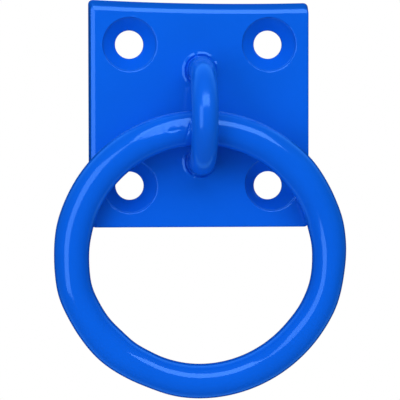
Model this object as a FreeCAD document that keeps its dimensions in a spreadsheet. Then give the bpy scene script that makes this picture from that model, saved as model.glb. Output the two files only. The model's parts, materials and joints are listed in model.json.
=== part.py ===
import FreeCAD, Part
import math
import os
import Sketcher

# Ring plate: a sheared steel plate with four countersunk screw holes, a round-bar staple
# riveted through it, and a welded ring that hangs in the staple's eye.
# Millimetres. The plate's back lies in the plane Y = 0, its face looks along -Y, Z is up,
# and the origin is the middle of the screw pattern on the back.

# Driving dimensions
SIZES = [
    ("plate_width", 50.8),
    ("plate_height", 51.5),
    ("plate_thick", 4.0),
    # The upper edge was cut a little hollow, with its left end the higher one.
    ("shear_hollow", 0.5),
    ("shear_rise_left", 0.85),
    ("shear_rise_right", 0.15),
    # The cut sides lean in from the back towards the face.
    ("lean_in_top", 0.95),
    ("lean_in_left", 0.35),
    ("lean_in_right", 0.15),
    # The shear rolled the front edges over.
    ("roll_top", 1.05),
    ("roll_left", 0.9),
    ("roll_right", 0.3),
    ("roll_foot", 0.12),
    ("roll_depth", 0.45),
    ("corner_back", 1.1),
    ("corner_middle", 0.75),
    ("corner_front", 0.35),
    # Screw holes with 90 degree countersinks
    ("screw_bore", 6.5),
    ("screw_pitch_across", 32.0),
    ("screw_pitch_up", 32.5),
    ("sink_mouth", 12.5),
    # The lower right countersink was drilled a little off its bore.
    ("sink_drift_across", 0.65),
    ("sink_drift_up", 0.45),
    # Staple of round bar
    ("staple_bar", 6.0),
    ("staple_pitch", 21.0),
    ("staple_shift", 0.3),
    ("staple_drop", 0.2),
    # Its bow is bent in three arcs, tighter at the crown than at the shoulders.
    ("shoulder_radius", 12.75),
    ("crown_radius", 7.5),
    ("leg_clearance", 0.05),
    ("rivet_head", 8.4),
    ("rivet_depth", 1.3),
    # The burr raised on the face round each leg, and the groove between it and the leg
    ("burr_foot", 8.9),
    ("burr_crest", 8.0),
    ("burr_height", 0.3),
    ("groove_mouth", 7.6),
    ("groove_depth", 0.6),
    # Ring of round bar
    ("ring_bar", 8.0),
    ("ring_inside", 50.8),
    ("eye_gap", 0.3),
    ("lean_gap", 0.3),
    # Where the ring's bar seats in the lower shoulder, in degrees forward of straight down
    ("seat_angle", 25.5),
    # Butt weld of the ring, in degrees left of its top, and the flat hammered beside it
    ("weld_angle", 6.5),
    ("weld_bead", 1.3),
    ("weld_proud", 0.15),
    ("flat_end_angle", 22.0),
    ("flat_facing", 24.0),
    ("flat_depth", 0.28),
]

doc = FreeCAD.newDocument("ring_plate")
sheet = doc.addObject("Spreadsheet::Sheet", "sizes")
for row, (alias, number) in enumerate(SIZES, start=1):
    sheet.set("A%d" % row, alias)
    sheet.set("B%d" % row, str(number))
    sheet.setAlias("B%d" % row, alias)
doc.recompute()

# Sizes that follow from the driving ones, as expressions on the sheet
SINK_DEPTH = "(sizes.sink_mouth - sizes.screw_bore) / 2"
LEG_HOLE = "(sizes.staple_bar / 2 + sizes.leg_clearance)"
LEG_UPPER = "(sizes.staple_pitch / 2 - sizes.staple_drop)"
LEG_LOWER = "(-sizes.staple_pitch / 2 - sizes.staple_drop)"
RING_RADIUS = "((sizes.ring_inside + sizes.ring_bar) / 2)"
# The arc of a shoulder has its middle on the far side of the eye's middle line.
SHOULDER_PAST = "(sizes.shoulder_radius - sizes.staple_pitch / 2)"
CROWN_PAST = f"sqrt((sizes.shoulder_radius - sizes.crown_radius) ^ 2 - {SHOULDER_PAST} ^ 2)"
# The ring's bar seats in the lower shoulder, which sets how far below the eye's middle it hangs.
BAR_PLAY = "(sizes.shoulder_radius - (sizes.staple_bar + sizes.ring_bar) / 2 - sizes.eye_gap)"
SEAT = "(sizes.seat_angle * 1 deg)"
PIVOT_DROP = f"(sizes.staple_drop - {SHOULDER_PAST} + {BAR_PLAY} * cos({SEAT}))"
# The ring leans back, clear of the plate's lower edge, until its foot touches the wall.
FOOT_BELOW_PLATE = f"(2 * {RING_RADIUS} + {PIVOT_DROP} - sizes.plate_height / 2)"
LEAN = f"asin((sizes.plate_thick + sizes.lean_gap) / {FOOT_BELOW_PLATE})"
PIVOT_OUT = f"(sizes.ring_bar / 2 + 2 * {RING_RADIUS} * sin({LEAN}))"
# The legs are as long as it takes to bring the shoulder under the bar.
SHOULDER_OUT = f"({PIVOT_OUT} - {BAR_PLAY} * sin({SEAT}))"


def value(expression):
    """What an expression on the sheet comes to, in millimetres or degrees."""
    result = sheet.evalExpression(str(expression))
    return float(getattr(result, "Value", result))


def attach(thing, body, role):
    """Lay a sketch or a primitive on one of its own body's origin planes."""
    planes = {plane.Role: plane for plane in body.Origin.OriginFeatures}
    thing.AttachmentSupport = [(planes[role], "")]
    thing.MapMode = "FlatFace"


def bind(thing, settings):
    """Bind properties to expressions on the sheet."""
    for name, expression in settings.items():
        thing.setExpression(name, expression)


def add_on_plane(body, kind, name, role, settings):
    """A sketch or a primitive on one of the body's origin planes, with its sizes bound."""
    thing = body.newObject(kind, name)
    attach(thing, body, role)
    bind(thing, settings)
    return thing


def dimension(sketch, name, kind, places, expression):
    """Add a named dimension between places of a sketch and bind it to an expression."""
    where = list(places) + [value(expression)]
    index = sketch.addConstraint(Sketcher.Constraint(kind, *where))
    sketch.renameConstraint(index, name)
    sketch.setExpression("Constraints." + name, expression)


def chain(sketch, joints):
    """Join curves of a sketch end to end, each running smoothly into the next."""
    for joint in joints:
        sketch.addConstraint(Sketcher.Constraint("Tangent", *joint))


def flat_vector(x, y):
    return FreeCAD.Vector(x, y, 0)


def circle_of(centre, radius):
    return Part.Circle(centre, FreeCAD.Vector(0, 0, 1), radius)


def add_circle(sketch, name, across, up, radius):
    """A circle whose centre and radius follow expressions on the sheet."""
    start = circle_of(flat_vector(value(across), value(up)), value(radius))
    circle = sketch.addGeometry(start)
    dimension(sketch, name + "_radius", "Radius", (circle,), radius)
    dimension(sketch, name + "_across", "DistanceX", (-1, 1, circle, 3), across)
    dimension(sketch, name + "_up", "DistanceY", (-1, 1, circle, 3), up)


# Plate
plate = doc.addObject("PartDesign::Body", "plate")
plate.Label = "plate"

# The hollow upper edge is an arc over the plate, through its two ends.
EDGE_FALL = "(sizes.shear_rise_right - sizes.shear_rise_left)"
EDGE_CHORD = f"sqrt(sizes.plate_width ^ 2 + {EDGE_FALL} ^ 2)"
EDGE_RADIUS = f"(({EDGE_CHORD} ^ 2 / 4 + sizes.shear_hollow ^ 2) / (2 * sizes.shear_hollow))"
EDGE_RISE = f"(({EDGE_RADIUS} - sizes.shear_hollow) / {EDGE_CHORD})"
EDGE_CENTRE_ACROSS = f"(-{EDGE_FALL} * {EDGE_RISE})"
EDGE_CENTRE_UP = (
    "(sizes.plate_height / 2 + (sizes.shear_rise_left + sizes.shear_rise_right) / 2"
    f" + sizes.plate_width * {EDGE_RISE})"
)


def plate_outline(name, depth, left_in, right_in, top_in, foot_in, corner):
    """The plate's outline at a depth in front of its back, set in on each side."""
    sketch = add_on_plane(plate, "Sketcher::SketchObject", name, "XZ_Plane",
                          {"AttachmentOffset.Base.z": depth})
    left = f"sizes.plate_width / 2 - ({left_in})"
    right = f"sizes.plate_width / 2 - ({right_in})"
    foot = f"sizes.plate_height / 2 - ({foot_in})"
    radius = f"{EDGE_RADIUS} + ({top_in})"
    x_left, x_right, z_foot = -value(left), value(right), -value(foot)
    rounding, reach = value(corner), value(radius)
    arc_centre = flat_vector(value(EDGE_CENTRE_ACROSS), value(EDGE_CENTRE_UP))

    def under_arc(x):
        """Centre of a corner's rounding that touches the upper arc, and its touching angle."""
        drop = math.sqrt((reach + rounding) ** 2 - (x - arc_centre.x) ** 2)
        return flat_vector(x, arc_centre.y - drop), math.atan2(drop, arc_centre.x - x)

    low_left = flat_vector(x_left + rounding, z_foot + rounding)
    low_right = flat_vector(x_right - rounding, z_foot + rounding)
    high_left, left_angle = under_arc(low_left.x)
    high_right, right_angle = under_arc(low_right.x)
    corner_at = {place: circle_of(centre, rounding) for place, centre in (
        ("low_left", low_left), ("low_right", low_right),
        ("high_left", high_left), ("high_right", high_right))}
    quarter = math.pi / 2
    sole, corner_lr, side_r, corner_hr, upper, corner_hl, side_l, corner_ll = sketch.addGeometry([
        Part.LineSegment(flat_vector(low_left.x, z_foot), flat_vector(low_right.x, z_foot)),
        Part.ArcOfCircle(corner_at["low_right"], -quarter, 0),
        Part.LineSegment(flat_vector(x_right, low_right.y), flat_vector(x_right, high_right.y)),
        Part.ArcOfCircle(corner_at["high_right"], 0, right_angle),
        Part.ArcOfCircle(circle_of(arc_centre, reach), left_angle + math.pi,
                         right_angle + math.pi),
        Part.ArcOfCircle(corner_at["high_left"], left_angle, math.pi),
        Part.LineSegment(flat_vector(x_left, high_left.y), flat_vector(x_left, low_left.y)),
        Part.ArcOfCircle(corner_at["low_left"], math.pi, 3 * quarter),
    ])
    chain(sketch, [
        (sole, 2, corner_lr, 1), (corner_lr, 2, side_r, 1), (side_r, 2, corner_hr, 1),
        (corner_hr, 2, upper, 2), (upper, 1, corner_hl, 1), (corner_hl, 2, side_l, 1),
        (side_l, 2, corner_ll, 1), (corner_ll, 2, sole, 1),
    ])
    sketch.addConstraint(Sketcher.Constraint("Horizontal", sole))
    sketch.addConstraint(Sketcher.Constraint("Vertical", side_l))
    sketch.addConstraint(Sketcher.Constraint("Vertical", side_r))
    for other in (corner_lr, corner_hr, corner_hl):
        sketch.addConstraint(Sketcher.Constraint("Equal", corner_ll, other))
    dimension(sketch, "corner", "Radius", (corner_ll,), corner)
    dimension(sketch, "left", "DistanceX", (side_l, 1, -1, 1), left)
    dimension(sketch, "right", "DistanceX", (-1, 1, side_r, 1), right)
    dimension(sketch, "foot", "DistanceY", (sole, 1, -1, 1), foot)
    dimension(sketch, "edge_radius", "Radius", (upper,), radius)
    dimension(sketch, "edge_across", "DistanceX", (-1, 1, upper, 3), EDGE_CENTRE_ACROSS)
    dimension(sketch, "edge_up", "DistanceY", (-1, 1, upper, 3), EDGE_CENTRE_UP)
    return sketch


back_outline = plate_outline("back_outline", "0", "0", "0", "0", "0", "sizes.corner_back")
cut_outline = plate_outline("cut_outline", "sizes.plate_thick - sizes.roll_depth",
                            "sizes.lean_in_left", "sizes.lean_in_right", "sizes.lean_in_top", "0",
                            "sizes.corner_middle")
face_outline = plate_outline("face_outline", "sizes.plate_thick",
                             "sizes.lean_in_left + sizes.roll_left",
                             "sizes.lean_in_right + sizes.roll_right",
                             "sizes.lean_in_top + sizes.roll_top",
                             "sizes.roll_foot", "sizes.corner_front")
blank = plate.newObject("PartDesign::AdditiveLoft", "sheared_blank")
blank.Profile = back_outline
blank.Sections = [cut_outline, face_outline]
blank.Ruled = True

# Burrs on the face round the staple's legs
LEGS = {"upper": LEG_UPPER, "lower": LEG_LOWER}
for place, up in LEGS.items():
    add_on_plane(plate, "PartDesign::AdditiveCone", place + "_burr", "XZ_Plane", {
        "Radius1": "sizes.burr_foot / 2",
        "Radius2": "sizes.burr_crest / 2",
        "Height": "sizes.burr_height",
        "AttachmentOffset.Base.x": "sizes.staple_shift",
        "AttachmentOffset.Base.y": up,
        "AttachmentOffset.Base.z": "sizes.plate_thick",
    })

# Bores for the screws and for the staple's legs
bores = add_on_plane(plate, "Sketcher::SketchObject", "bores", "XZ_Plane", {})
SCREWS = {}
for side, sign_across in (("left", "-"), ("right", "")):
    for level, sign_up in (("lower", "-"), ("upper", "")):
        SCREWS[level, side] = (f"{sign_across}sizes.screw_pitch_across / 2",
                               f"{sign_up}sizes.screw_pitch_up / 2")
for (level, side), (across, up) in SCREWS.items():
    add_circle(bores, f"{level}_{side}_bore", across, up, "sizes.screw_bore / 2")
for place, up in LEGS.items():
    add_circle(bores, place + "_leg_bore", "sizes.staple_shift", up, LEG_HOLE)
drilled = plate.newObject("PartDesign::Pocket", "drilled_bores")
drilled.Profile = bores
drilled.Type = "ThroughAll"
drilled.Reversed = True

# Countersinks for the screws
for (level, side), (across, up) in SCREWS.items():
    off_bore = (level, side) == ("lower", "right")
    add_on_plane(plate, "PartDesign::SubtractiveCone", f"{level}_{side}_sink", "XZ_Plane", {
        "Radius1": "sizes.screw_bore / 2",
        "Radius2": "sizes.sink_mouth / 2",
        "Height": SINK_DEPTH,
        "AttachmentOffset.Base.x": across + (" + sizes.sink_drift_across" if off_bore else ""),
        "AttachmentOffset.Base.y": up + (" + sizes.sink_drift_up" if off_bore else ""),
        "AttachmentOffset.Base.z": f"sizes.plate_thick - {SINK_DEPTH}",
    })

# Groove round each leg on the face, and the seat of its riveted end in the back
for place, up in LEGS.items():
    centre = {"AttachmentOffset.Base.x": "sizes.staple_shift", "AttachmentOffset.Base.y": up}
    add_on_plane(plate, "PartDesign::SubtractiveCone", place + "_groove", "XZ_Plane", {
        "Radius1": LEG_HOLE,
        "Radius2": "sizes.groove_mouth / 2",
        "Height": "sizes.groove_depth + sizes.burr_height",
        "AttachmentOffset.Base.z": "sizes.plate_thick - sizes.groove_depth",
        **centre,
    })
    add_on_plane(plate, "PartDesign::SubtractiveCone", place + "_rivet_seat", "XZ_Plane", {
        "Radius1": "sizes.rivet_head / 2 + sizes.leg_clearance",
        "Radius2": LEG_HOLE,
        "Height": "sizes.rivet_depth",
        **centre,
    })

# Staple: two straight legs, and a bow of two wide shoulders and a tighter crown
staple = doc.addObject("PartDesign::Body", "staple")
staple.Label = "staple"
bend = add_on_plane(staple, "Sketcher::SketchObject", "bend", "YZ_Plane",
                    {"AttachmentOffset.Base.z": "sizes.staple_shift"})
leg_up, leg_down = value(LEG_UPPER), value(LEG_LOWER)
shoulder, crown = value("sizes.shoulder_radius"), value("sizes.crown_radius")
shoulder_out, middle = -value(SHOULDER_OUT), -value("sizes.staple_drop")
past, crown_past = value(SHOULDER_PAST), value(CROWN_PAST)
turn = math.atan2(crown_past, past)
quarter = math.pi / 2
upper_leg, upper_arc, crown_arc, lower_arc, lower_leg = bend.addGeometry([
    Part.LineSegment(flat_vector(0, leg_up), flat_vector(shoulder_out, leg_up)),
    Part.ArcOfCircle(circle_of(flat_vector(shoulder_out, middle - past), shoulder),
                     quarter, quarter + turn),
    Part.ArcOfCircle(circle_of(flat_vector(shoulder_out - crown_past, middle), crown),
                     quarter + turn, 3 * quarter - turn),
    Part.ArcOfCircle(circle_of(flat_vector(shoulder_out, middle + past), shoulder),
                     3 * quarter - turn, 3 * quarter),
    Part.LineSegment(flat_vector(shoulder_out, leg_down), flat_vector(0, leg_down)),
])
chain(bend, [(upper_leg, 2, upper_arc, 1), (upper_arc, 2, crown_arc, 1),
             (crown_arc, 2, lower_arc, 1), (lower_arc, 2, lower_leg, 1)])
for leg, free_end in ((upper_leg, 1), (lower_leg, 2)):
    bend.addConstraint(Sketcher.Constraint("Horizontal", leg))
    bend.addConstraint(Sketcher.Constraint("PointOnObject", leg, free_end, -2))
bend.addConstraint(Sketcher.Constraint("Equal", upper_arc, lower_arc))
dimension(bend, "shoulder_radius", "Radius", (upper_arc,), "sizes.shoulder_radius")
dimension(bend, "crown_radius", "Radius", (crown_arc,), "sizes.crown_radius")
dimension(bend, "upper_shoulder_out", "DistanceX", (upper_arc, 3, -1, 1), SHOULDER_OUT)
dimension(bend, "lower_shoulder_out", "DistanceX", (lower_arc, 3, -1, 1), SHOULDER_OUT)
dimension(bend, "upper_leg_up", "DistanceY", (-1, 1, upper_leg, 1), LEG_UPPER)
dimension(bend, "lower_leg_down", "DistanceY", (lower_leg, 2, -1, 1), f"-{LEG_LOWER}")
leg_section = add_on_plane(staple, "Sketcher::SketchObject", "leg_section", "XZ_Plane", {})
add_circle(leg_section, "bar", "sizes.staple_shift", LEG_UPPER, "sizes.staple_bar / 2")
bent_bar = staple.newObject("PartDesign::AdditivePipe", "bent_bar")
bent_bar.Profile = leg_section
bent_bar.Spine = bend
for place, up in LEGS.items():
    add_on_plane(staple, "PartDesign::AdditiveCone", place + "_rivet", "XZ_Plane", {
        "Radius1": "sizes.rivet_head / 2",
        "Radius2": "sizes.staple_bar / 2",
        "Height": "sizes.rivet_depth",
        "AttachmentOffset.Base.x": "sizes.staple_shift",
        "AttachmentOffset.Base.y": up,
    })

# Ring: round bar bent to a circle, drawn hanging straight down from its pivot, the middle of
# the bar in the staple's eye
ring = doc.addObject("PartDesign::Body", "ring")
ring.Label = "ring"
bar_section = add_on_plane(ring, "Sketcher::SketchObject", "bar_section", "YZ_Plane", {})
add_circle(bar_section, "bar", "0", "0", "sizes.ring_bar / 2")
axle = bar_section.addGeometry(
    Part.LineSegment(flat_vector(-1, -value(RING_RADIUS)), flat_vector(1, -value(RING_RADIUS))),
    True)
bar_section.addConstraint(Sketcher.Constraint("Symmetric", axle, 1, axle, 2, -2))
dimension(bar_section, "axle_length", "DistanceX", (axle, 1, axle, 2), "2")
dimension(bar_section, "axle_drop", "DistanceY", (axle, 1, -1, 1), RING_RADIUS)
hoop = ring.newObject("PartDesign::Revolution", "hoop")
hoop.Profile = bar_section
hoop.ReferenceAxis = (bar_section, ["Axis0"])
hoop.Angle = 360

# The bead that the butt weld left round the bar
WELD = "(sizes.weld_angle * 1 deg)"
add_on_plane(ring, "PartDesign::AdditiveTorus", "weld_bead", "YZ_Plane", {
    "Radius1": "(sizes.ring_bar - sizes.weld_bead) / 2 + sizes.weld_proud",
    "Radius2": "sizes.weld_bead / 2",
    "AttachmentOffset.Base.y": f"{RING_RADIUS} * (cos({WELD}) - 1)",
    "AttachmentOffset.Base.z": f"-{RING_RADIUS} * sin({WELD})",
    "AttachmentOffset.Rotation.Axis.x": "1",
    "AttachmentOffset.Rotation.Axis.z": "0",
    "AttachmentOffset.Rotation.Angle": f"-{WELD}",
})


def on_bar(angle_left, depth):
    """A point of the flat, a depth under the bar's skin, at an angle left of the ring's top."""
    turn, facing = math.radians(angle_left), math.radians(value("sizes.flat_facing"))
    radial = FreeCAD.Vector(-math.sin(turn), math.cos(turn), 0)
    outward = radial * math.sin(facing) + FreeCAD.Vector(0, 0, math.cos(facing))
    middle = radial * value(RING_RADIUS) - FreeCAD.Vector(0, value(RING_RADIUS), 0)
    return middle + outward * (value("sizes.ring_bar / 2") - depth), outward


# The flat that was hammered on the bar left of the weld, deepest at the weld
flat_start, start_outward = on_bar(value("sizes.flat_end_angle"), 0)
flat_stop, stop_outward = on_bar(value("sizes.weld_angle"), value("sizes.flat_depth"))
along = flat_stop - flat_start
flat_turn = FreeCAD.Rotation(along, FreeCAD.Vector(), start_outward + stop_outward, "XZY")
flat = add_on_plane(ring, "PartDesign::SubtractiveBox", "hammered_flat", "XZ_Plane", {
    "Width": "sizes.ring_bar",
    "Height": "sizes.ring_bar / 2",
})
flat.Length = along.Length
half_width = flat_turn.multVec(FreeCAD.Vector(0, value("sizes.ring_bar / 2"), 0))
flat.AttachmentOffset = FreeCAD.Placement(flat_start - half_width, flat_turn)

# The ring hangs in the eye and leans back with its foot against the wall.
bind(ring, {
    "Placement.Base.y": f"-{PIVOT_OUT}",
    "Placement.Base.z": f"-{PIVOT_DROP}",
    "Placement.Rotation.Axis.x": "1",
    "Placement.Rotation.Axis.z": "0",
    "Placement.Rotation.Angle": LEAN,
})

doc.recompute()
for thing in doc.Objects:
    faults = {"Invalid", "Error"} & set(thing.State)
    if faults:
        raise RuntimeError(f"{thing.Name} failed: {sorted(faults)}")

os.makedirs("parts", exist_ok=True)
for body in (plate, staple, ring):
    shape = body.Shape
    if shape.isNull() or not shape.isValid() or len(shape.Solids) != 1:
        raise RuntimeError(f"{body.Label} is not one valid solid")
    shape.exportStep(f"parts/{body.Label}.step")
    box = shape.BoundBox
    print(f"{body.Label}: {shape.Volume:.1f} mm3, X {box.XMin:.2f} to {box.XMax:.2f},"
          f" Y {box.YMin:.2f} to {box.YMax:.2f}, Z {box.ZMin:.2f} to {box.ZMax:.2f}")
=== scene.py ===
"""Looks of the ring plate: a painted steel plate, its riveted staple and the welded ring."""

import json
import logging
import math
from collections.abc import Iterable
from dataclasses import dataclass, field
from enum import Enum

import bmesh
import bpy
from mathutils import Matrix, Vector, noise


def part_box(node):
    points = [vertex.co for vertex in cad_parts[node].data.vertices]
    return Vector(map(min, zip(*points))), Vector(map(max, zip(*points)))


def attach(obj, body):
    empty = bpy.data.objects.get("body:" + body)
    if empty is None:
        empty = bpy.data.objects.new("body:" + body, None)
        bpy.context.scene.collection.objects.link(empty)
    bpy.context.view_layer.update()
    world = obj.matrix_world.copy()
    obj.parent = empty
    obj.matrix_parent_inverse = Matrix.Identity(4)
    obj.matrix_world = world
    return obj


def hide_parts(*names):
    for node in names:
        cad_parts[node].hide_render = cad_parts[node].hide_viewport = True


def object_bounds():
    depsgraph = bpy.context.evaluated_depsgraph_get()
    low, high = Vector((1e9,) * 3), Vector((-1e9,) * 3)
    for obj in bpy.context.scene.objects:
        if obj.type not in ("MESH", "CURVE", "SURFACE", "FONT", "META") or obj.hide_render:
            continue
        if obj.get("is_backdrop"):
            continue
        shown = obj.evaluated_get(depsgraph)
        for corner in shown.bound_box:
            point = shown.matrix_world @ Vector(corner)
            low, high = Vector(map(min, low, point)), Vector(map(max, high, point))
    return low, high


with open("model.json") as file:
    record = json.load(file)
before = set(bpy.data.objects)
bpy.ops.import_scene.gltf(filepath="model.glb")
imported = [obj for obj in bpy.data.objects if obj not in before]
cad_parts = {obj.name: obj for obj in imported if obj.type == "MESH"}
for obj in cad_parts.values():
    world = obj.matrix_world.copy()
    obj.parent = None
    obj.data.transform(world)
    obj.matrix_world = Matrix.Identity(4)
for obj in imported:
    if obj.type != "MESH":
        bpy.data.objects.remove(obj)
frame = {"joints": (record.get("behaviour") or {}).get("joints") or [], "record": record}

MM = 0.001
UP = Vector((0, 0, 1))
FRONT = Vector((0, -1, 0))
# The map that runs along and round the ring's bar, in metres
BAR_MAP = "along_bar"
log = logging.getLogger("ring_plate")


class Body(Enum):
    """The bodies that pieces ride on."""

    FIXED = "fixed_plate"
    SWINGING = "swinging_ring"


def linear(hex_colour: str) -> tuple[float, float, float, float]:
    """Turn an sRGB hex colour into linear light.

    Args:
        hex_colour: The colour as "#RRGGBB".

    Returns:
        Red, green, blue and an alpha of one.
    """
    channels = []
    for start in (1, 3, 5):
        share = int(hex_colour[start:start + 2], 16) / 255
        channels.append(share / 12.92 if share <= 0.04045 else ((share + 0.055) / 1.055) ** 2.4)
    return (*channels, 1.0)


def add_node(tree: bpy.types.NodeTree, kind: str, settings: dict[str | int, object] | None = None,
             links: dict[str | int, bpy.types.NodeSocket] | None = None) -> bpy.types.Node:
    """Add a node with its settings and links.

    Args:
        tree: The node tree that gets the node.
        kind: The node's type.
        settings: Attributes of the node, or values of its inputs by name or number.
        links: Names or numbers of the node's inputs with the output sockets that feed them.

    Returns:
        The new node.
    """
    node = tree.nodes.new(kind)
    for name, value in (settings or {}).items():
        if isinstance(name, int) or name in node.inputs:
            node.inputs[name].default_value = value
        else:
            setattr(node, name, value)
    for name, source in (links or {}).items():
        tree.links.new(source, node.inputs[name])
    return node


@dataclass(frozen=True)
class GlossEnamel:
    """Blue gloss enamel, dipped or sprayed over shot-blasted steel after riveting.

    It flows into a hard, even skin that mirrors lamps with crisp edges. Close up it keeps a
    faint orange peel, and it follows the long waves of the rolled or drawn steel under it.
    """

    name: str
    colour: str = "#0A63E9"
    deeper_colour: str = "#095DDD"
    gloss_tint: str = "#8CC8FF"
    roughness: float = 0.09
    gloss: float = 0.88
    mottle_mm: float = 14.0
    peel_mm: float = 1.1
    peel_height_mm: float = 0.004
    wave_mm: float = 9.0
    wave_height_mm: float = 0.014
    # Lines that the drawing die left: how far apart, how long they run and how high
    draw_line_mm: float = 0.9
    draw_line_run_mm: float = 50000.0
    draw_line_height_mm: float = 0.0

    def material(self) -> bpy.types.Material:
        """Build the enamel's node tree.

        Returns:
            The finished material.
        """
        # Hard, even enamel: it mirrors crisply and hides the steel's grain, not its form
        material = bpy.data.materials.new(self.name)
        material.use_nodes = True
        tree = material.node_tree
        tree.nodes.clear()
        place = add_node(tree, "ShaderNodeTexCoord").outputs["Object"]
        mottle = add_node(tree, "ShaderNodeTexNoise",
                          {"Scale": 1 / (self.mottle_mm * MM), "Detail": 3.0}, {"Vector": place})
        tone = add_node(tree, "ShaderNodeMix",
                        {"data_type": "RGBA", "A": linear(self.deeper_colour),
                         "B": linear(self.colour)}, {"Factor": mottle.outputs["Fac"]})
        peel = add_node(tree, "ShaderNodeTexNoise",
                        {"Scale": 1 / (self.peel_mm * MM), "Detail": 2.0}, {"Vector": place})
        wave = add_node(tree, "ShaderNodeTexNoise",
                        {"Scale": 1 / (self.wave_mm * MM), "Detail": 1.0}, {"Vector": place})
        lower = add_node(tree, "ShaderNodeBump",
                         {"Strength": 1.0, "Distance": self.wave_height_mm * MM},
                         {"Height": wave.outputs["Fac"]})
        upper = add_node(tree, "ShaderNodeBump",
                         {"Strength": 1.0, "Distance": self.peel_height_mm * MM},
                         {"Height": peel.outputs["Fac"], "Normal": lower.outputs["Normal"]})
        normal = upper.outputs["Normal"]
        if self.draw_line_height_mm:
            along_bar = add_node(tree, "ShaderNodeUVMap", {"uv_map": BAR_MAP}).outputs["UV"]
            scale = (1 / (self.draw_line_run_mm * MM), 1 / (self.draw_line_mm * MM), 1.0)
            stretched = add_node(tree, "ShaderNodeMapping", {"Scale": scale},
                                 {"Vector": along_bar})
            lines = add_node(tree, "ShaderNodeTexNoise", {"Scale": 1.0, "Detail": 2.0},
                             {"Vector": stretched.outputs["Vector"]})
            normal = add_node(tree, "ShaderNodeBump",
                              {"Strength": 1.0, "Distance": self.draw_line_height_mm * MM},
                              {"Height": lines.outputs["Fac"], "Normal": normal}).outputs["Normal"]
        shader = add_node(tree, "ShaderNodeBsdfPrincipled",
                          {"Roughness": self.roughness, "IOR": 1.5,
                           "Specular IOR Level": self.gloss,
                           "Specular Tint": linear(self.gloss_tint)},
                          {"Base Color": tone.outputs["Result"], "Normal": normal})
        add_node(tree, "ShaderNodeOutputMaterial", links={"Surface": shader.outputs["BSDF"]})
        return material


def finish_piece(mesh_data: bmesh.types.BMesh, name: str, node: str, body: Body,
                 material: bpy.types.Material) -> bpy.types.Object:
    """Turn a bmesh into a shown piece that stands for a node of the frame.

    Args:
        mesh_data: The piece's shape in the frame's place; it is freed here.
        name: The piece's name.
        node: The frame's node that it stands for.
        body: The body that it rides on.
        material: The finish of its surface.

    Returns:
        The piece's object.
    """
    for face in mesh_data.faces:
        face.smooth = True
    mesh = bpy.data.meshes.new(name)
    mesh_data.to_mesh(mesh)
    mesh_data.free()
    mesh.materials.append(material)
    piece = bpy.data.objects.new(name, mesh)
    bpy.context.scene.collection.objects.link(piece)
    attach(piece, body.value)
    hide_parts(node)
    return piece


def only(kind: type, geometry: list) -> list:
    """Pick the items of one kind out of an operator's result."""
    return [item for item in geometry if isinstance(item, kind)]


def in_order(items: Iterable) -> list:
    """Drop an operator's repeats and keep the order, which a set would lose from run to run."""
    return list(dict.fromkeys(items))


def grow_loop(shape: bmesh.types.BMesh, edges: list) -> tuple[list, list]:
    """Extrude a loop of edges in place.

    Args:
        shape: The bmesh that holds the loop.
        edges: The loop's edges.

    Returns:
        The new loop's edges and vertices.
    """
    grown = bmesh.ops.extrude_edge_only(shape, edges=edges)["geom"]
    return only(bmesh.types.BMEdge, grown), only(bmesh.types.BMVert, grown)


@dataclass(frozen=True)
class Step:
    """One ring of points of a turned wall: its depth along the axis, radius and middle."""

    along: float
    radius: float
    middle: tuple[float, float] = (0.0, 0.0)


def turned_wall(shape: bmesh.types.BMesh, steps: list[Step], count: int) -> tuple[list, list]:
    """Grow a round wall about the Y axis, ring by ring.

    Args:
        shape: The bmesh that gets the wall.
        steps: The wall's rings, with the first one's circle made anew.
        count: Points round each ring.

    Returns:
        The edges of the first and of the last ring.
    """
    first = steps[0]
    lying = Matrix.Rotation(math.pi / 2, 4, "X")
    spot = Matrix.Translation((first.middle[0], first.along, first.middle[1]))
    made = bmesh.ops.create_circle(shape, cap_ends=False, segments=count, radius=first.radius,
                                   matrix=spot @ lying)
    start = in_order(edge for vert in made["verts"] for edge in vert.link_edges)
    edges = start
    for before, after in zip(steps, steps[1:]):
        edges, verts = grow_loop(shape, edges)
        ratio = after.radius / before.radius
        pivot = Matrix.Translation((-before.middle[0], 0, -before.middle[1]))
        bmesh.ops.scale(shape, vec=(ratio, 1, ratio), space=pivot, verts=verts)
        move = (after.middle[0] - before.middle[0], after.along - before.along,
                after.middle[1] - before.middle[1])
        bmesh.ops.translate(shape, vec=move, verts=verts)
    return start, edges


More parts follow.
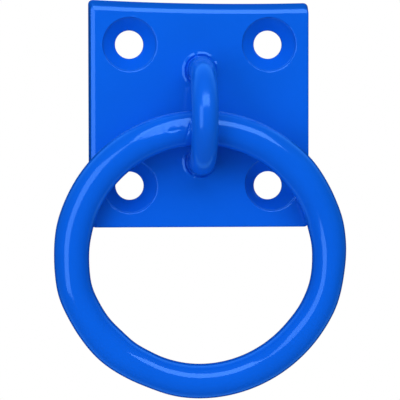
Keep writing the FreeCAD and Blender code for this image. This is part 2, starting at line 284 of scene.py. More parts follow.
@dataclass
class Plate:
    """The sheared plate with its four countersunk bores and two burred leg holes."""

    finish: GlossEnamel
    thick: float = 4.0 * MM
    corner: float = 1.1 * MM
    corner_steps: int = 6
    side_cuts: int = 31
    hollow: float = 0.5 * MM
    rise_left: float = 0.845 * MM
    rise_right: float = 0.15 * MM
    # How far each side leans in over the cut, and how far it is then rolled over
    lean: dict = field(default_factory=lambda: {
        "left": 0.5 * MM, "right": 0.2 * MM, "top": 1.45 * MM, "foot": 0.0})
    roll: dict = field(default_factory=lambda: {
        "left": 1.1 * MM, "right": 0.7 * MM, "top": 1.1 * MM, "foot": 0.6 * MM})
    roll_depth: float = 0.45 * MM
    back_soft: float = 0.12 * MM
    # The torn top edge: depths below the roll, with shares of the other sides' and its own lean
    torn_slope: tuple = ((3.3 * MM, 0.07, 0.0), (3.1 * MM, 0.12, 0.03), (2.9 * MM, 0.18, 0.09),
                         (0.10 * MM, 0.97, 0.96))
    # The rolled edge from the cut to the face: shares of its width and of its depth
    roll_profile: tuple = ((0.0, 0.0), (0.03, 0.17), (0.08, 0.27), (0.17, 0.37), (0.40, 0.58),
                           (0.63, 0.77), (0.82, 0.91), (0.93, 0.98), (1.0, 1.0))
    bore: float = 6.5 * MM
    sink: float = 12.5 * MM
    # The worn drill cut steeper just under the rim: how far in and how deep that goes
    sink_lip: tuple[float, float] = (0.3 * MM, 0.7 * MM)
    sink_drift: tuple[float, float] = (0.65 * MM, 0.45 * MM)
    # How narrowly the rims of the sinks and of the bores are rounded, and how far the sinks' rims
    # are worn towards the lower right
    rim_keen: float = 0.13 * MM
    rim_soft: float = 0.16 * MM
    rim_worn: tuple[float, float] = (0.12 * MM, -0.12 * MM)
    # Where a sink's rim starts to turn down, and where it turns most: how deep, how far in, and
    # the depth at which its drift is taken
    rim_start: float = 0.012 * MM
    rim_turn: tuple[float, float, float] = (0.085 * MM, 0.06 * MM, 0.07 * MM)
    leg_hole: float = 6.1 * MM
    burr_foot: float = 8.4 * MM
    burr_crest: float = 7.55 * MM
    burr_height: float = 0.29 * MM
    groove: float = 7.05 * MM
    groove_depth: float = 0.2 * MM
    # How far the burr's foot runs out, how wide its crest is rounded outwards and inwards, and
    # where the groove's floor lies in from its mouth
    burr_skirt: tuple[float, float] = (1.2 * MM, 0.15 * MM)
    crest_round: tuple[float, float] = (0.12 * MM, 0.1 * MM)
    groove_floor: tuple[float, float] = (0.2 * MM, 0.3 * MM)
    # The paint's fillet at the leg, and how tightly and how deep it grips it
    leg_fillet: float = 0.08 * MM
    leg_grip: float = 0.02 * MM
    leg_grip_depth: float = 0.5 * MM
    # Where the burr is torn away: clockwise degrees from the top of the leg, and how far
    burr_gaps_top: tuple = ((-17.0, 6.0), (52.0, 14.0), (130.0, 30.0), (-150.0, 16.0))
    burr_gaps_foot: tuple = ((-48.0, 16.0), (-152.0, 6.0), (0.0, 40.0), (100.0, 45.0))
    # How uneven the torn burr is, in height and round its circle, how quickly that changes and
    # in which rows of the noise
    burr_torn: tuple[float, float] = (0.95, 0.5)
    burr_wobble: float = 0.035
    burr_pace: float = 1.7
    wobble_pace: float = 1.4
    burr_rows: tuple[float, float] = (7.3, 2.1)
    # How the groove's depth follows the burr's height
    groove_follows: float = 1.6
    # The nicks on the countersinks' rims: how wide, how high, how many, how uneven, and how far
    # one hole's nicks differ from the next one's
    nick_reach: float = 0.2 * MM
    nick_height: float = 0.09 * MM
    nick_pace: float = 4.6
    nick_uneven: tuple[float, float] = (0.35, 2.2)
    nick_apart: float = 900.0
    rivet_seat: float = 8.5 * MM
    rivet_depth: float = 1.3 * MM
    seat_edge: float = 0.2 * MM
    hole_points: int = 96
    support: float = 0.35 * MM

    def __post_init__(self) -> None:
        """Take the plate's size from its solid, and the holes' pattern from the record."""
        low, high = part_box("plate")
        pattern = next(m for m in frame["record"]["mounts"] if m["name"] == "screw_holes")
        self.half_width = (high.x - low.x) / 2
        self.foot = low.z
        self.top = -low.z
        self.pitch = (pattern["dims"]["spacing_x_mm"] * MM, pattern["dims"]["spacing_y_mm"] * MM)

    def top_edge(self, x: float) -> float:
        """Give the height of the hollow upper edge over its nominal line.

        Args:
            x: The place across the plate.

        Returns:
            The height there in metres.
        """
        share = x / self.half_width
        ends = (self.rise_right - self.rise_left) / 2 * share
        return (self.rise_right + self.rise_left) / 2 + ends - self.hollow * (1 - share ** 2)

    def outline(self, shape: bmesh.types.BMesh) -> list:
        """Draw the plate's outline on its back.

        Args:
            shape: The bmesh that gets the outline.

        Returns:
            The outline's edges.
        """
        flat = Matrix.Rotation(math.pi / 2, 4, "X") @ Matrix.Diagonal(
            (self.half_width, (self.top - self.foot) / 2, 1, 1))
        bmesh.ops.create_grid(shape, x_segments=1, y_segments=1, size=1, matrix=flat)
        bmesh.ops.bevel(shape, geom=shape.verts[:], offset=self.corner, offset_type="OFFSET",
                        affect="VERTICES", segments=self.corner_steps, profile=0.5, material=-1)
        bmesh.ops.delete(shape, geom=shape.faces[:], context="FACES_ONLY")
        sides = [edge for edge in shape.edges if edge.calc_length() > self.corner * 2]
        bmesh.ops.subdivide_edges(shape, edges=sides, cuts=self.side_cuts)
        fade = 2 * self.corner
        for vert in shape.verts:
            near_top = min(1.0, max(0.0, 1.5 - (self.top - vert.co.z) / fade))
            vert.co.z += near_top * self.top_edge(vert.co.x)
        return shape.edges[:]

    def inset(self, share_lean: float, share_roll: float, share_round: float | None = None,
              share_shear: float | None = None) -> dict:
        """How far each side has moved in.

        Args:
            share_lean: Share of each side's lean.
            share_roll: Share of the rolled sides' roll.
            share_round: Share of the plainly rounded sides' roll, if it isn't the same.
            share_shear: Share of the lean of the sheared top, if it isn't the same.

        Returns:
            The inset of each side in metres.
        """
        rolled = {side: share_roll for side in self.lean}
        if share_round is not None:
            rolled.update(right=share_round, foot=share_round)
        leaned = {side: share_lean for side in self.lean}
        if share_shear is not None:
            leaned["top"] = share_shear
        return {side: leaned[side] * self.lean[side] + rolled[side] * self.roll[side]
                for side in self.lean}

    def wall_stages(self) -> list[tuple[float, dict]]:
        """List the stages of the plate's wall from back to face.

        Returns:
            The depth of each stage over the back, with the insets of the sides there.
        """
        cut = self.thick - self.roll_depth
        # The shear left a steep step at the back of the top edge and tore a slope above it
        stages = [(self.back_soft, self.inset(0.0, 0.0))]
        for below, lean, shear in self.torn_slope:
            stages.append((cut - below, self.inset(lean, 0.0, share_shear=shear)))
        for across, risen in self.roll_profile:
            rounded = 1 - math.sqrt(1 - risen ** 2)
            stages.append((cut + risen * self.roll_depth, self.inset(1.0, across, rounded)))
        stages.append((self.thick, self.inset(1.0, 1.0 + self.support / self.roll["top"])))
        return stages

    def shape_inset(self, verts: list, before: dict, after: dict, deeper: float) -> None:
        """Move one ring of the wall's points in from every side and towards the face.

        Args:
            verts: The ring's vertices.
            before: The insets that they stand at.
            after: The insets that they go to.
            deeper: How far they go towards the face.
        """
        full_width, full_height = 2 * self.half_width, self.top - self.foot
        wide = full_width - before["left"] - before["right"]
        tall = full_height - before["top"] - before["foot"]
        left, foot = -self.half_width + before["left"], self.foot + before["foot"]
        for vert in verts:
            across = (vert.co.x - left) / wide
            up = (vert.co.z - foot) / tall
            vert.co.x += (after["left"] - before["left"]) * (1 - across)
            vert.co.x -= (after["right"] - before["right"]) * across
            vert.co.z += (after["foot"] - before["foot"]) * (1 - up)
            vert.co.z -= (after["top"] - before["top"]) * up
            vert.co.y -= deeper

    def sink_steps(self, drift: tuple[float, float]) -> list[Step]:
        """List the steps of a countersunk bore, from the face to the back.

        Args:
            drift: How far the countersink's middle is off the bore's, across and up.

        Returns:
            The wall's steps about the bore's own middle.
        """
        face, rim, bore = -self.thick, self.sink / 2, self.bore / 2
        deep = rim - bore
        keen, soft = self.rim_keen, self.rim_soft
        lip_in, lip_deep = self.sink_lip
        turn_deep, turn_in, turn_drift = self.rim_turn
        none = (0.0, 0.0)
        worn = (drift[0] + self.rim_worn[0], drift[1] + self.rim_worn[1])

        def part(depth: float) -> tuple[float, float]:
            """How much of the drift is left at a depth."""
            share = max(0.0, 1 - depth / deep)
            return (drift[0] * share, drift[1] * share)

        return [
            Step(face, rim + 0.5 * self.support + keen, worn),
            Step(face, rim + keen, worn),
            Step(face + self.rim_start, rim + 0.6 * keen, worn),
            Step(face + turn_deep, rim - turn_in, part(turn_drift)),
            Step(face + 1.6 * keen, rim - keen, part(keen)),
            Step(face + lip_deep - keen, rim - lip_in + 0.5 * keen, part(lip_in)),
            Step(face + lip_deep + 0.6 * keen, rim - lip_in - 0.8 * keen, part(lip_in)),
            Step(face + deep - soft, bore + soft, part(deep - soft)),
            Step(face + deep - 0.3 * soft, bore + 0.3 * soft, part(deep - 0.3 * soft)),
            Step(face + deep + soft, bore, none),
            Step(-0.8 * soft, bore, none),
            Step(-0.2 * soft, bore + 0.25 * soft, none),
            Step(0.0, bore + soft, none),
            Step(0.0, bore + soft + self.support, none),
        ]

    def leg_steps(self) -> list[Step]:
        """List the steps of a leg hole: the burr, the groove, the bore and the rivet's seat.

        Returns:
            The wall's steps about the leg's own middle.
        """
        face, foot, crest = -self.thick, self.burr_foot / 2, self.burr_crest / 2
        leg, groove, seat = self.leg_hole / 2, self.groove / 2, self.rivet_seat / 2
        high, deep = self.burr_height, self.groove_depth
        return [
            Step(face, foot + self.burr_skirt[0]),
            Step(face, foot + self.burr_skirt[1]),
            Step(face - 0.12 * high, foot),
            Step(face - 0.85 * high, crest + self.crest_round[0]),
            Step(face - high, crest),
            Step(face - 0.85 * high, crest - self.crest_round[1]),
            Step(face + 0.1 * deep, groove),
            Step(face + 0.85 * deep, groove - self.groove_floor[0]),
            Step(face + deep, groove - self.groove_floor[1]),
            Step(face + 0.5 * deep, leg + self.leg_fillet),
            Step(face, leg - self.leg_grip),
            Step(face + self.leg_grip_depth, leg),
            Step(-self.rivet_depth, leg),
            Step(0.0, seat),
            Step(0.0, seat + self.seat_edge),
        ]

    def build(self, legs: list[tuple[float, float]]) -> bpy.types.Object:
        """Model the plate.

        Args:
            legs: Where the staple's legs pass through, across and up.

        Returns:
            The plate's object.
        """
        shape = bmesh.new()
        edges = self.outline(shape)
        back = edges
        before = self.inset(0.0, 0.0)
        reached = 0.0
        for depth, insets in self.wall_stages():
            edges, verts = grow_loop(shape, edges)
            self.shape_inset(verts, before, insets, depth - reached)
            before, reached = insets, depth
        face_loops, back_loops = list(edges), []
        support, verts = grow_loop(shape, back)
        self.shape_inset(verts, self.inset(0.0, 0.0),
                         dict.fromkeys(self.lean, self.support), 0.0)
        back_loops += support
        holes = []
        for across in (-1, 1):
            for up in (-1, 1):
                middle = (across * self.pitch[0] / 2, up * self.pitch[1] / 2)
                drift = self.sink_drift if (across, up) == (1, -1) else (0.0, 0.0)
                holes.append((middle, self.sink_steps(drift)))
        holes += [(middle, self.leg_steps()) for middle in legs]
        for middle, steps in holes:
            placed = [Step(s.along, s.radius, (middle[0] + s.middle[0], middle[1] + s.middle[1]))
                      for s in steps]
            first, last = turned_wall(shape, placed, self.hole_points)
            face_loops += first
            back_loops += last
        for loops, facing in ((face_loops, FRONT), (back_loops, -FRONT)):
            bmesh.ops.triangle_fill(shape, use_beauty=True, edges=loops, normal=facing)
        for middle in legs:
            self.tear_burr(shape, middle)
        for vert in shape.verts:
            self.nick_sink(vert)
        bmesh.ops.recalc_face_normals(shape, faces=shape.faces[:])
        return finish_piece(shape, "painted_plate", "plate", Body.FIXED, self.finish.material())

    def nick_sink(self, vert: bmesh.types.BMVert) -> None:
        """Raise the drill's nicked burr at a countersink's rim.

        Args:
            vert: A vertex, which moves if it stands on such a rim.
        """
        across = math.copysign(self.pitch[0] / 2, vert.co.x)
        up = math.copysign(self.pitch[1] / 2, vert.co.z)
        if across > 0 > up:
            across, up = across + self.sink_drift[0], up + self.sink_drift[1]
        away = Vector((vert.co.x - across, vert.co.z - up, 0))
        off_rim = away.length - self.sink / 2
        if abs(off_rim) > self.nick_reach or vert.co.y > -self.thick + self.nick_reach:
            return
        way = away.normalized() * self.nick_pace + Vector((across, up, 0)) * self.nick_apart
        level, swing = self.nick_uneven
        raised = min(1.0, max(0.0, level + swing * noise.noise(way)))
        vert.co.y -= self.nick_height * raised * (1 - abs(off_rim) / self.nick_reach)

    def tear_burr(self, shape: bmesh.types.BMesh, middle: tuple[float, float]) -> None:
        """Make the even burr round a leg uneven, as the punch left it.

        Args:
            shape: The bmesh that holds the plate.
            middle: The leg's place, across and up.
        """
        gaps = self.burr_gaps_top if middle[1] > 0 else self.burr_gaps_foot
        level, swing = self.burr_torn
        torn_place = Vector((middle[1], 0, self.burr_rows[0]))
        wobble_place = Vector((middle[1], self.burr_rows[1], 0))
        for vert in shape.verts:
            across, up = vert.co.x - middle[0], vert.co.z - middle[1]
            radius = math.hypot(across, up)
            if vert.co.y > -self.thick + 1.01 * self.groove_depth or radius > self.burr_foot / 2:
                continue
            way = Vector((across, up, 0)) / radius * self.burr_pace
            clockwise = math.degrees(math.atan2(across, up))
            torn = level + swing * noise.noise(way + torn_place)
            for angle, reach in gaps:
                away = (clockwise - angle + 180) % 360 - 180
                torn *= 1 - math.exp(-(away / reach) ** 2)
            torn = min(1.0, torn)
            raised = -self.thick - vert.co.y
            if raised > 0:
                vert.co.y += raised * (1 - torn)
            elif raised < 0 and radius > (self.leg_hole + self.leg_fillet) / 2:
                vert.co.y += raised * (1 - self.groove_follows * torn)
            wobble = self.burr_wobble * noise.noise(way * self.wobble_pace + wobble_place)
            vert.co.x += across * wobble
            vert.co.z += up * wobble


@dataclass
class Staple:
    """The round bar bent to a bow, with its ends riveted in the plate's back."""

    finish: GlossEnamel
    bar: float = 6.0 * MM
    pitch: float = 21.0 * MM
    shoulder: float = 12.75 * MM
    crown: float = 7.5 * MM
    rivet_head: float = 8.4 * MM
    rivet_depth: float = 1.3 * MM
    # Share of the riveted end that is flat, inside its edge
    rivet_flat: float = 0.94
    section_points: int = 72
    steps_per_degree: float = 0.8

    def __post_init__(self) -> None:
        """Take the staple's place from its solid, and work out the arcs of its bow."""
        low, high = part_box("staple")
        self.across = (low.x + high.x) / 2
        self.middle = (low.z + high.z) / 2
        # The shoulders' arcs have their middles past the eye's middle line
        self.past = self.shoulder - self.pitch / 2
        reach = self.shoulder - self.crown
        self.turn = math.acos(self.past / reach)
        self.crown_out = low.y + self.bar / 2 + self.crown
        self.shoulder_out = self.crown_out + reach * math.sin(self.turn)

    def legs(self) -> list[tuple[float, float]]:
        """Where the two legs stand on the plate, across and up."""
        return [(self.across, self.middle + side * self.pitch / 2) for side in (-1, 1)]

    def bend(self, shape: bmesh.types.BMesh, loop: tuple[list, list], out: float, up: float,
             angle: float) -> tuple[list, list]:
        """Bend the bar on through an arc.

        Args:
            shape: The bmesh that holds the bar.
            loop: Vertices and edges of the bar's open end.
            out: The arc's middle on the Y axis.
            up: The arc's middle over the middle of the legs.
            angle: How far the bar turns, in radians.

        Returns:
            Vertices and edges of the new open end.
        """
        steps = round(math.degrees(angle) * self.steps_per_degree)
        spun = bmesh.ops.spin(shape, geom=loop[0] + loop[1], axis=(1, 0, 0), angle=angle,
                              cent=(self.across, out, self.middle + up), steps=steps,
                              use_merge=False)
        return (only(bmesh.types.BMVert, spun["geom_last"]),
                only(bmesh.types.BMEdge, spun["geom_last"]))

    def build(self) -> bpy.types.Object:
        """Model the staple.

        Returns:
            The staple's object.
        """
        shape = bmesh.new()
        upper = (self.across, self.middle + self.pitch / 2)
        steps = [Step(0.0, self.rivet_head / 2, upper),
                 Step(-self.rivet_depth, self.bar / 2, upper),
                 Step(self.shoulder_out, self.bar / 2, upper)]
        head, edges = turned_wall(shape, steps, self.section_points)
        loop = (in_order(vert for edge in edges for vert in edge.verts), edges)
        loop = self.bend(shape, loop, self.shoulder_out, -self.past, self.turn)
        loop = self.bend(shape, loop, self.crown_out, 0.0, math.pi - 2 * self.turn)
        loop = self.bend(shape, loop, self.shoulder_out, self.past, self.turn)
        edges, verts = grow_loop(shape, loop[1])
        bmesh.ops.translate(shape, vec=(0, -self.rivet_depth - self.shoulder_out, 0), verts=verts)
        edges, verts = grow_loop(shape, edges)
        lower = Matrix.Translation((-self.across, 0, -(self.middle - self.pitch / 2)))
        ratio = self.rivet_head / self.bar
        bmesh.ops.scale(shape, vec=(ratio, 1, ratio), space=lower, verts=verts)
        bmesh.ops.translate(shape, vec=(0, self.rivet_depth, 0), verts=verts)
        for rim, up in ((head, self.pitch / 2), (edges, -self.pitch / 2)):
            inner, verts = grow_loop(shape, rim)
            bmesh.ops.scale(shape, vec=(self.rivet_flat, 1, self.rivet_flat), verts=verts,
                            space=Matrix.Translation((-self.across, 0, -(self.middle + up))))
            bmesh.ops.contextual_create(shape, geom=inner)
        bmesh.ops.recalc_face_normals(shape, faces=shape.faces[:])
        return finish_piece(shape, "riveted_staple", "staple", Body.FIXED, self.finish.material())


@dataclass
class Ring:
    """The round bar bent to a circle, butt-welded just left of its top."""

    finish: GlossEnamel
    section_points: int = 96
    plain_steps: int = 300
    weld_steps: int = 150
    # Degrees left of the top between which the fine steps lie
    weld_zone: tuple[float, float] = (-4.0, 34.0)
    weld_angle: float = 4.7
    flat_end: float = 29.0
    flat_facing: float = 20.0
    flat_depth: float = 0.30 * MM
    # How the flat fades out along the ring, how ragged it is, over what degrees and in which row
    # of the noise, where it stops round the bar in radians, and how softly it meets the round
    flat_fade: float = 0.7
    flat_ragged: float = 0.35
    ragged_pace: float = 0.35
    ragged_row: float = 3.1
    flat_reach: float = 1.2
    flat_soft: float = 0.04 * MM
    # The weld's crease and the bead beside it: depth or height, place along the bar and width
    crease: tuple[float, float, float] = (0.16 * MM, 0.1 * MM, 0.22 * MM)
    bead: tuple[float, float, float] = (0.05 * MM, -0.45 * MM, 0.35 * MM)
    # Degrees along per degree round the bar, and where round the bar the crease was dressed away
    crease_slant: float = 0.06
    crease_clear: tuple[float, float] = (5.0, 40.0)
    # Hammer marks beside the weld: degrees left of the top, degrees round the bar, their
    # half-widths in the same two ways, and depth
    dents: tuple = ((12.6, 7.0, 1.7, 6.0, 0.12 * MM), (8.5, 2.0, 1.6, 9.0, 0.05 * MM))
    # Where hand bending pushed the bar off its circle: clockwise degrees from the top, how far
    # outwards, and over how many degrees
    kinks: tuple = ((-155.0, -0.34 * MM, 13.0), (-134.0, -0.10 * MM, 8.0),
                    (-106.0, 0.27 * MM, 8.0), (-90.0, -0.025 * MM, 5.0), (86.0, 0.07 * MM, 7.0),
                    (110.0, 0.27 * MM, 13.0))
    # Where it swelled or was squeezed between its inner and outer side, given in the same way
    swells: tuple = ((-160.0, -0.12 * MM, 7.0), (-135.0, 0.22 * MM, 8.0), (-77.0, 0.12 * MM, 8.0),
                     (48.0, 0.16 * MM, 9.0), (76.0, 0.14 * MM, 6.0), (101.0, -0.22 * MM, 12.0),
                     (119.0, -0.07 * MM, 6.0))

    @staticmethod
    def bumps(table: tuple, clockwise: float) -> float:
        """Sum a table's soft bumps at a place round the ring.

        Args:
            table: The bumps, each an angle, a size and a reach.
            clockwise: Degrees clockwise from the ring's top.

        Returns:
            Their height there in metres.
        """
        height = 0.0
        for angle, size, reach in table:
            away = (clockwise - angle + 180) % 360 - 180
            height += size * math.exp(-(away / reach) ** 2)
        return height

    def __post_init__(self) -> None:
        """Take the ring's sizes, place and lean from its solid and its joint."""
        low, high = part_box("ring")
        joint = next(j for j in frame["joints"] if j["name"] == "ring_swing")
        self.pivot = Vector(joint["pos_m"])
        self.centre = (low + high) / 2
        self.centre.x = 0.0
        self.radius = (self.centre - self.pivot).length
        self.bar = (high.x - low.x) / 2 - self.radius
        self.up = (self.pivot - self.centre).normalized()
        self.front = self.up.cross(Vector((1, 0, 0))).normalized()
        if self.front.y > 0:
            self.front.negate()

    def worked(self, turn: float, section: float) -> float:
        """How far the bar's skin stands from its middle line.

        Args:
            turn: Degrees left of the ring's top.
            section: Degrees round the bar from its front, outwards being positive.

        Returns:
            The distance in metres.
        """
        reach = self.bar
        if self.weld_angle < turn < self.flat_end:
            share = (self.flat_end - turn) / (self.flat_end - self.weld_angle)
            ragged = noise.noise(Vector((turn * self.ragged_pace, self.ragged_row, 0.0)))
            deep = self.flat_depth * (share ** self.flat_fade) * (1 + self.flat_ragged * ragged)
            off = math.radians(section - self.flat_facing)
            if abs(off) < self.flat_reach:
                flat = (self.bar - deep) / math.cos(off)
                blend = max(0.0, self.flat_soft - abs(reach - flat)) / self.flat_soft
                reach = min(reach, flat) - blend * blend * self.flat_soft / 4
        seam = self.weld_angle + (self.flat_facing - section) * self.crease_slant
        away = math.radians(turn - seam) * self.radius
        start, fade = self.crease_clear
        clear = math.exp(-(max(0.0, start - section) / fade) ** 2)
        for sign, (size, place, wide) in ((-1, self.crease), (1, self.bead)):
            reach += sign * size * clear * math.exp(-((away - place) / wide) ** 2)
        for at_turn, at_section, wide, tall, deep in self.dents:
            spread = ((turn - at_turn) / wide) ** 2 + ((section - at_section) / tall) ** 2
            reach -= deep * math.exp(-spread)
        return reach

    def build(self) -> bpy.types.Object:
        """Model the ring.

        Returns:
            The ring's object.
        """
        shape = bmesh.new()
        side = Matrix.Rotation(math.pi / 2, 4, "Y")
        made = bmesh.ops.create_circle(shape, cap_ends=False, segments=self.section_points,
                                       radius=self.bar, matrix=side)
        verts = made["verts"]
        edges = in_order(edge for vert in verts for edge in vert.link_edges)
        centre, axis = (0, 0, -self.radius), (0, -1, 0)
        start = math.radians(self.weld_zone[0])
        bmesh.ops.rotate(shape, cent=centre, verts=verts,
                         matrix=Matrix.Rotation(start, 3, axis))
        fine = math.radians(self.weld_zone[1] - self.weld_zone[0])
        welded = bmesh.ops.spin(shape, geom=verts + edges, cent=centre, axis=axis, angle=fine,
                                steps=self.weld_steps, use_merge=False)
        bmesh.ops.spin(shape, geom=welded["geom_last"], cent=centre, axis=axis,
                       angle=math.tau - fine, steps=self.plain_steps, use_merge=False)
        bmesh.ops.remove_doubles(shape, verts=shape.verts[:], dist=0.002 * MM)
        self.work_bar(shape)
        lean = Matrix((Vector((1, 0, 0)), -self.front, self.up)).transposed().to_4x4()
        bmesh.ops.transform(shape, matrix=Matrix.Translation(self.pivot) @ lean,
                            verts=shape.verts[:])
        bmesh.ops.recalc_face_normals(shape, faces=shape.faces[:])
        return finish_piece(shape, "welded_ring", "ring", Body.SWINGING, self.finish.material())

    def work_bar(self, shape: bmesh.types.BMesh) -> None:
        """Press the weld and the hammered flat into the bar, and lay the map along it.

        Args:
            shape: The bmesh that holds the even ring, its middle line's top in the origin.
        """
        polar = {}
        for vert in shape.verts:
            out = Vector((vert.co.x, 0, vert.co.z + self.radius))
            turn = math.degrees(math.atan2(-out.x, out.z))
            radial = out.normalized()
            middle = radial * self.radius - Vector((0, 0, self.radius))
            skin = vert.co - middle
            section = math.degrees(math.atan2(skin.dot(radial), -skin.y))
            polar[vert] = (turn, section)
            worked = skin.normalized() * self.worked(turn, section)
            squeeze = 1 + self.bumps(self.swells, -turn) / self.bar
            worked += radial * worked.dot(radial) * (squeeze - 1)
            vert.co = middle + worked + radial * self.bumps(self.kinks, -turn)
        layer = shape.loops.layers.uv.new(BAR_MAP)
        for face in shape.faces:
            turns = [polar[vert][0] for vert in face.verts]
            sections = [polar[vert][1] for vert in face.verts]
            for loop in face.loops:
                turn, section = polar[loop.vert]
                if turn - min(turns) > 180:
                    turn -= 360
                if section - min(sections) > 180:
                    section -= 360
                loop[layer].uv = (math.radians(turn) * self.radius,
                                  math.radians(section) * self.bar)


@dataclass
class SoftBox:
    """A rectangular studio lamp that faces the object."""

    name: str
    azimuth: float
    elevation: float
    distance: float
    width: float
    height: float
    radiance: float
    colour: str
    aim: tuple[float, float, float] = (0.0, -0.008, -0.02)

    def place(self) -> None:
        """Put the lamp in the scene."""
        lamp = bpy.data.lights.new(self.name, "AREA")
        lamp.shape = "RECTANGLE"
        lamp.size, lamp.size_y = self.width, self.height
        lamp.color = linear(self.colour)[:3]
        lamp.energy = self.radiance * math.pi * self.width * self.height
        turn, lift = math.radians(self.azimuth), math.radians(self.elevation)
        out = Vector((math.sin(turn) * math.cos(lift), -math.cos(turn) * math.cos(lift),
                      math.sin(lift)))
        holder = bpy.data.objects.new(self.name, lamp)
        holder.location = Vector(self.aim) + out * self.distance
        holder.rotation_euler = (-out).to_track_quat("-Z", "Y").to_euler()
        bpy.context.scene.collection.objects.link(holder)


@dataclass
class Studio:
    """The pale room: white behind the object, soft lamps, a floor and the camera."""

    fill_colour: str = "#FFF9D6"
    fill: float = 0.58
    mirrored_colour: str = "#5CB0FF"
    mirrored: float = 0.03
    # Share of the fill that comes from behind the plate, and the way that most comes from
    behind: float = 0.45
    fill_from: tuple[float, float, float] = (0.05, -0.72, 0.69)
    fill_spread: tuple[float, float] = (-0.1, 0.7)
    # The mirrored paper: places from straight behind the plate (0) to straight before it (1),
    # and from straight below (0) to straight above (1), with how bright it is there
    paper: tuple = ((0.0, 0.0), (0.19, 0.0), (0.225, 1.0), (0.28, 0.7), (0.4, 0.36), (0.5, 0.08))
    paper_height: tuple = ((0.0, 1.6), (0.25, 1.5), (0.42, 0.3), (0.6, 0.5), (0.8, 2.4), (1.0, 2.6))
    floor_drop: float = 0.25
    floor_size: float = 0.45
    floor_points: int = 96
    floor_colour: str = "#E8ECFF"
    camera_azimuth: float = -3.36
    camera_elevation: float = 2.04
    camera_roll: float = -0.10
    camera_distance: float = 0.472
    camera_aim: tuple[float, float, float] = (-0.0002, -0.009, -0.01931)
    lens_mm: float = 186.9
    lamps: list[SoftBox] = field(default_factory=lambda: [
        SoftBox("overhead_front", 7.0, 40.0, 0.9, 0.98, 0.48, 3.55, "#DEECFF"),
        SoftBox("left_strip", -36.0, -1.0, 0.9, 0.46, 0.84, 2.45, "#DEECFF"),
    ])

    @staticmethod
    def share_of(tree: bpy.types.NodeTree, way: bpy.types.NodeSocket, towards: Vector,
                 facing: tuple[float, float], levels: tuple[float, float]) -> bpy.types.NodeSocket:
        """Map how far a direction points one way to a level of light.

        Args:
            tree: The world's node tree.
            way: The direction's socket.
            towards: The way that it is compared with.
            facing: The cosines between which the level changes.
            levels: The levels at those two.

        Returns:
            The level's socket.
        """
        along = add_node(tree, "ShaderNodeVectorMath", {"operation": "DOT_PRODUCT", 1: towards},
                         {0: way})
        return add_node(tree, "ShaderNodeMapRange",
                        {"From Min": facing[0], "From Max": facing[1], "To Min": levels[0],
                         "To Max": levels[1]}, {"Value": along.outputs["Value"]}
                        ).outputs["Result"]

    @staticmethod
    def stepped(tree: bpy.types.NodeTree, share: bpy.types.NodeSocket,
                stops: tuple) -> bpy.types.NodeSocket:
        """Give a share a level that runs through some stops.

        Args:
            tree: The world's node tree.
            share: The socket with the share from zero to one.
            stops: Places with their levels.

        Returns:
            The level's socket.
        """
        ramp = add_node(tree, "ShaderNodeValToRGB", links={"Fac": share})
        elements = ramp.color_ramp.elements
        while len(elements) < len(stops):
            elements.new(0.5)
        for element, (place, level) in zip(elements, stops):
            element.position, element.color = place, (level, level, level, 1)
        return ramp.outputs["Color"]

    def build(self) -> None:
        """Set the room up."""
        scene = bpy.context.scene
        scene.view_settings.view_transform = "Standard"
        world = bpy.data.worlds.new("white_room")
        world.use_nodes = True
        tree = world.node_tree
        tree.nodes.clear()
        rays = add_node(tree, "ShaderNodeLightPath").outputs
        way = add_node(tree, "ShaderNodeTexCoord").outputs["Generated"]
        fill = add_node(tree, "ShaderNodeBackground", {"Color": linear(self.fill_colour)}, {
            "Strength": self.share_of(tree, way, Vector(self.fill_from), self.fill_spread,
                                      (self.fill * self.behind, self.fill))})
        round_edge = self.stepped(tree, self.share_of(tree, way, FRONT, (-1.0, 1.0), (0.0, 1.0)),
                                  self.paper)
        height = self.stepped(tree, self.share_of(tree, way, UP, (-1.0, 1.0), (0.0, 1.0)),
                              self.paper_height)
        lit = add_node(tree, "ShaderNodeMath", {"operation": "MULTIPLY_ADD", 2: self.mirrored},
                       {0: round_edge, 1: height})
        mirrored = add_node(tree, "ShaderNodeBackground", {"Color": linear(self.mirrored_colour)},
                            {"Strength": lit.outputs["Value"]})
        white = add_node(tree, "ShaderNodeBackground", {"Color": (1, 1, 1, 1), "Strength": 1.0})
        around = add_node(tree, "ShaderNodeMixShader", links={
            "Fac": rays["Is Glossy Ray"], 1: fill.outputs["Background"],
            2: mirrored.outputs["Background"]})
        shown = add_node(tree, "ShaderNodeMixShader", links={
            "Fac": rays["Is Camera Ray"], 1: around.outputs["Shader"],
            2: white.outputs["Background"]})
        add_node(tree, "ShaderNodeOutputWorld", links={"Surface": shown.outputs["Shader"]})
        scene.world = world
        for lamp in self.lamps:
            lamp.place()
        self.floor()
        self.camera()

    def floor(self) -> None:
        """Lay a plain pale floor well below the object."""
        low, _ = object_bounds()
        shape = bmesh.new()
        bmesh.ops.create_circle(shape, cap_ends=True, segments=self.floor_points,
                                radius=self.floor_size,
                                matrix=Matrix.Translation((0, 0, low.z - self.floor_drop)))
        mesh = bpy.data.meshes.new("floor")
        shape.to_mesh(mesh)
        shape.free()
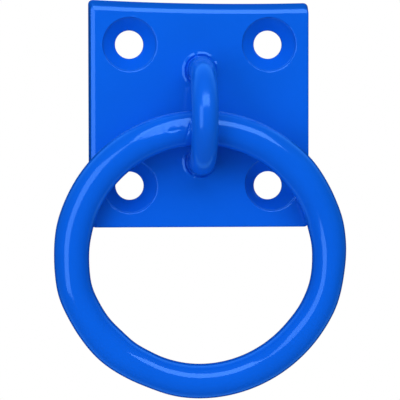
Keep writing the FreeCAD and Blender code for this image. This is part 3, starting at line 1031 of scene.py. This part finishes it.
        # Matt pale paper, that a view from underneath looks through
        material = bpy.data.materials.new("pale_floor_paper")
        material.use_nodes = True
        tree = material.node_tree
        tree.nodes.clear()
        paper = add_node(tree, "ShaderNodeBsdfPrincipled",
                         {"Base Color": linear(self.floor_colour), "Roughness": 0.9})
        clear = add_node(tree, "ShaderNodeBsdfTransparent")
        under = add_node(tree, "ShaderNodeNewGeometry").outputs["Backfacing"]
        sided = add_node(tree, "ShaderNodeMixShader", links={
            "Fac": under, 1: paper.outputs["BSDF"], 2: clear.outputs["BSDF"]})
        add_node(tree, "ShaderNodeOutputMaterial", links={"Surface": sided.outputs["Shader"]})
        mesh.materials.append(material)
        floor = bpy.data.objects.new("floor", mesh)
        bpy.context.scene.collection.objects.link(floor)
        floor.visible_glossy = False
        floor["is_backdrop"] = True

    def camera(self) -> None:
        """Set the camera at the photograph's place."""
        data = bpy.data.cameras.new("camera")
        data.sensor_width = 36.0
        data.lens = self.lens_mm
        data.clip_start, data.clip_end = 0.01, 10.0
        camera = bpy.data.objects.new("camera", data)
        turn, lift = math.radians(self.camera_azimuth), math.radians(self.camera_elevation)
        back = Vector((math.sin(turn) * math.cos(lift), -math.cos(turn) * math.cos(lift),
                       math.sin(lift)))
        camera.location = Vector(self.camera_aim) + back * self.camera_distance
        look = (-back).to_track_quat("-Z", "Y").to_matrix()
        roll = Matrix.Rotation(math.radians(self.camera_roll), 3, "Z")
        camera.rotation_euler = (look @ roll).to_euler()
        bpy.context.scene.collection.objects.link(camera)
        bpy.context.scene.camera = camera


def main() -> None:
    """Build every piece and the studio, and log each piece's face count."""
    logging.basicConfig(level=logging.INFO, format="%(message)s")
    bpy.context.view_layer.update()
    staple = Staple(GlossEnamel("enamel_on_bent_bar", roughness=0.18))
    plate = Plate(GlossEnamel("enamel_on_rolled_plate"))
    ring = Ring(GlossEnamel("enamel_on_drawn_bar", draw_line_height_mm=0.003))
    for piece in (plate.build(staple.legs()), staple.build(), ring.build()):
        log.info("%s: %d faces", piece.name, len(piece.data.polygons))
    Studio().build()


if __name__ == "__main__":
    main()
